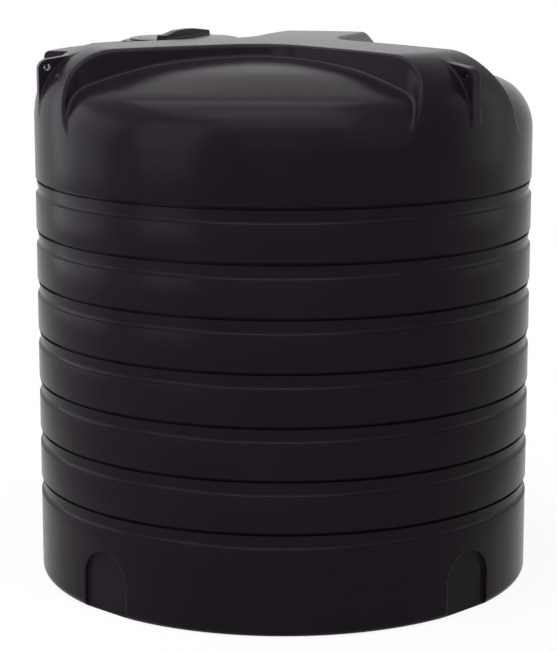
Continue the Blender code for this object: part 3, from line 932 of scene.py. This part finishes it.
def shown_white(tree, share):
    """Share of white that camera, mirror and glass rays see, and no other rays."""
    path = tree.nodes.new("ShaderNodeLightPath")
    seen = path.outputs["Is Camera Ray"]
    for ray in ("Is Glossy Ray", "Is Transmission Ray"):
        most = tree.nodes.new("ShaderNodeMath")
        most.operation = "MAXIMUM"
        tree.links.new(seen, most.inputs[0])
        tree.links.new(path.outputs[ray], most.inputs[1])
        seen = most.outputs["Value"]
    scale = tree.nodes.new("ShaderNodeMath")
    scale.operation = "MULTIPLY"
    tree.links.new(share, scale.inputs[1])
    tree.links.new(seen, scale.inputs[0])
    return scale.outputs["Value"]


def floor_material():
    """Pale floor that keeps a soft shadow near the tank and is plain white beyond it."""
    material, tree, shader = node_tree("floor_white")
    grain = noise(tree, scale=8.0, detail=3.0)
    colour = blend_colour(tree, grain, *FLOOR_COLOURS)
    tree.links.new(colour, shader.inputs["Base Color"])
    shader.inputs["Roughness"].default_value = 1.0
    shader.inputs["Specular IOR Level"].default_value = 0.0
    glow = tree.nodes.new("ShaderNodeEmission")
    glow.inputs["Color"].default_value = WHITE
    mix = tree.nodes.new("ShaderNodeMixShader")
    place = tree.nodes.new("ShaderNodeTexCoord")
    reach = tree.nodes.new("ShaderNodeVectorMath")
    reach.operation = "LENGTH"
    tree.links.new(place.outputs["Object"], reach.inputs[0])
    share = spread(tree, reach.outputs["Value"], FLOOR_WHITE, 1.0, *FLOOR_FADE)
    tree.links.new(shown_white(tree, share), mix.inputs["Fac"])
    tree.links.new(shader.outputs["BSDF"], mix.inputs[1])
    tree.links.new(glow.outputs["Emission"], mix.inputs[2])
    tree.links.new(mix.outputs["Shader"], tree.nodes["Material Output"].inputs["Surface"])
    return material


def build_world():
    """White to the eye and in reflections, and a soft even light for the rest."""
    world = bpy.data.worlds.new("studio")
    bpy.context.scene.world = world
    world.use_nodes = True
    tree = world.node_tree
    dim = tree.nodes["Background"]
    dim.inputs["Color"].default_value = WORLD_COLOUR
    dim.inputs["Strength"].default_value = WORLD_LIGHT
    white = tree.nodes.new("ShaderNodeBackground")
    white.inputs["Color"].default_value = WHITE
    mix = tree.nodes.new("ShaderNodeMixShader")
    share = tree.nodes.new("ShaderNodeValue")
    share.outputs["Value"].default_value = 1.0
    tree.links.new(shown_white(tree, share.outputs["Value"]), mix.inputs["Fac"])
    tree.links.new(dim.outputs["Background"], mix.inputs[1])
    tree.links.new(white.outputs["Background"], mix.inputs[2])
    tree.links.new(mix.outputs["Shader"], tree.nodes["World Output"].inputs["Surface"])


def add_lamp(name, azimuth, distance, height, aim, size, power):
    """Soft rectangular lamp that looks at a height on the tank's axis."""
    data = bpy.data.lights.new(name, "AREA")
    data.shape = "RECTANGLE"
    data.size, data.size_y = size
    data.energy = power
    data.color = LAMP_COLOUR
    lamp = bpy.data.objects.new(name, data)
    bpy.context.scene.collection.objects.link(lamp)
    side = heading(CAMERA_AZIMUTH + azimuth)
    place = Vector((side[0] * distance, side[1] * distance, height))
    lamp.location = place
    lamp.rotation_euler = (Vector((0.0, 0.0, aim)) - place).to_track_quat("-Z", "Y").to_euler()


def dress(item, material, body, node):
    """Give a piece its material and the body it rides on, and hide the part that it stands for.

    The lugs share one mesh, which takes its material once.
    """
    if not item.data.materials:
        item.data.materials.append(material)
    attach(item, body)
    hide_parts(node)


def in_top(centres):
    """Faces of the top skins."""
    return centres[:, 2] > TOP_FOOT


def in_cavity(centres):
    """Faces of the inside of the top, without what stands outside the wall."""
    return in_top(centres) & (np.hypot(centres[:, 0], centres[:, 1]) < RADIUS - WALL + WALL_MARGIN)


def in_foot(centres):
    """Faces of the foot's skins."""
    return centres[:, 2] < FOOT_TOP


def build_neck():
    """Bore of the manhole's neck, and the thread in it."""
    centre = (*manhole_axis(), 0.0)
    bore = turned_piece("neck_bore", neck_profile(), NECK_FACETS, centre)
    thread = thread_strip("neck_thread", THREAD_TURNS, PAD_HEIGHT - NECK_DEPTH + THREAD_START)
    thread.location = centre
    return [bore, thread]


def build_lugs():
    """Lifting lugs at the ends of the arms."""
    fin = moulded_piece("lifting_lug_1", lug_fin, (-LUG_ROOM, -LUG_REACH - LUG_MARGIN, LUG_LOW),
                        (LUG_ROOM, -LUG_ROOT + LUG_LAP, LUG_HIGH), LUG_STEP)
    lugs = [fin]
    for arm in range(1, ARM_COUNT):
        copy = fin.copy()
        copy.name = f"lifting_lug_{arm + 1}"
        copy.rotation_euler.z = 2 * math.pi * arm / ARM_COUNT
        bpy.context.scene.collection.objects.link(copy)
        lugs.append(copy)
    return lugs


def build_tank(black):
    """Outer and inner skins of the tank, its neck and its lugs."""
    span = RADIUS + 2 * SKIN_STEP
    top = (span, span, TOP_CEILING)
    mouth = (NECK_HOLE - NECK_LIP, PAD_HEIGHT - HOLE_DEPTH)
    collar = (NECK_RADIUS + NECK_WALL / 2, PAD_HEIGHT - NECK_DEPTH - HOLE_MARGIN)
    pieces = [
        moulded_piece("tank_top", top_skin, (-span, -span, TOP_FOOT - SKIN_STEP), top, SKIN_STEP,
                      in_top, mouth),
        moulded_piece("tank_foot", foot_skin, (-span, -span, -2 * SKIN_STEP),
                      (span, span, FOOT_TOP + SKIN_STEP), SKIN_STEP, in_foot),
        moulded_piece("tank_inside_top", inner_top, (-span, -span, TOP_FOOT - INNER_STEP), top,
                      INNER_STEP, in_cavity, collar),
        moulded_piece("tank_inside_foot", inner_foot, (-span, -span, -INNER_STEP),
                      (span, span, FOOT_TOP + INNER_STEP), INNER_STEP, in_foot),
        turned_piece("tank_wall", ring_profile(), WALL_FACETS),
        turned_piece("tank_inside_wall", inner_wall_profile(), INNER_FACETS),
    ]
    for item in pieces + build_neck() + build_lugs():
        dress(item, black, "tank", "tank_shell")


def build_lid(plastic, rubber):
    """Lid and its gasket."""
    centre = (*manhole_axis(), 0.0)
    reach = LID_RADIUS + 2 * LID_STEP
    lid = moulded_piece("screw_lid", lid_body, (-reach, -reach, SKIRT_LOW - 2 * LID_STEP),
                        (reach, reach, LID_CEILING), LID_STEP)
    lid.location = centre
    dress(lid, plastic, "lid", "manhole_lid")
    section = round_ring_profile(GASKET_INNER, GASKET_OUTER, GASKET_LOW,
                                 GASKET_LOW + GASKET_THICKNESS, GASKET_EDGE)
    ring = turned_piece("gasket_ring", section, GASKET_FACETS, centre)
    dress(ring, rubber, "gasket", "lid_gasket")


def build_outlet(brass, rubber):
    """Threaded outlet through the rear flat."""
    bush = turned_piece("outlet_fitting", bush_profile(), OUTLET_FACETS)
    seal_low = OUTLET_FACE + OUTLET_GAP
    section = round_ring_profile(OUTLET_HOLE, OUTLET_FLANGE, seal_low, seal_low + SEAL_THICKNESS,
                                 SEAL_EDGE)
    seal = turned_piece("outlet_gasket", section, OUTLET_FACETS)
    reach = OUTLET_NUT + NUT_MARGIN
    half = NUT_HALF + NUT_LAP
    nut = moulded_piece("outlet_ring_nut", nut_body, (-reach, -reach, -half), (reach, reach, half),
                        NUT_STEP)
    middle = OUTLET_FACE - WALL - OUTLET_GAP - NUT_HALF
    upright = Matrix.Rotation(math.radians(-90.0), 4, "X")
    for item, out in ((bush, 0.0), (seal, 0.0), (nut, middle)):
        item.matrix_world = Matrix.Translation((0.0, out, OUTLET_HEIGHT)) @ upright
    dress(bush, brass, "tank", "outlet_bush")
    dress(seal, rubber, "tank", "outlet_seal")
    dress(nut, brass, "tank", "outlet_nut")


def main():
    """Build the camera, the pieces, the floor and the light."""
    build_camera()
    black = black_plastic("moulded_black", *TANK_PLASTIC)
    lid_black = black_plastic("lid_black", *LID_PLASTIC)
    rubber = rubber_material()
    build_tank(black)
    build_lid(lid_black, rubber)
    build_outlet(brass_material(), rubber)
    floor = turned_piece("floor", [(0.0, FLOOR_LEVEL), (FLOOR_REACH, FLOOR_LEVEL)],
                         FLOOR_FACETS)
    floor.data.materials.append(floor_material())
    build_world()
    for name, setting in LAMPS.items():
        add_lamp(name, *setting)
    bpy.context.scene.view_settings.view_transform = "Standard"


main()
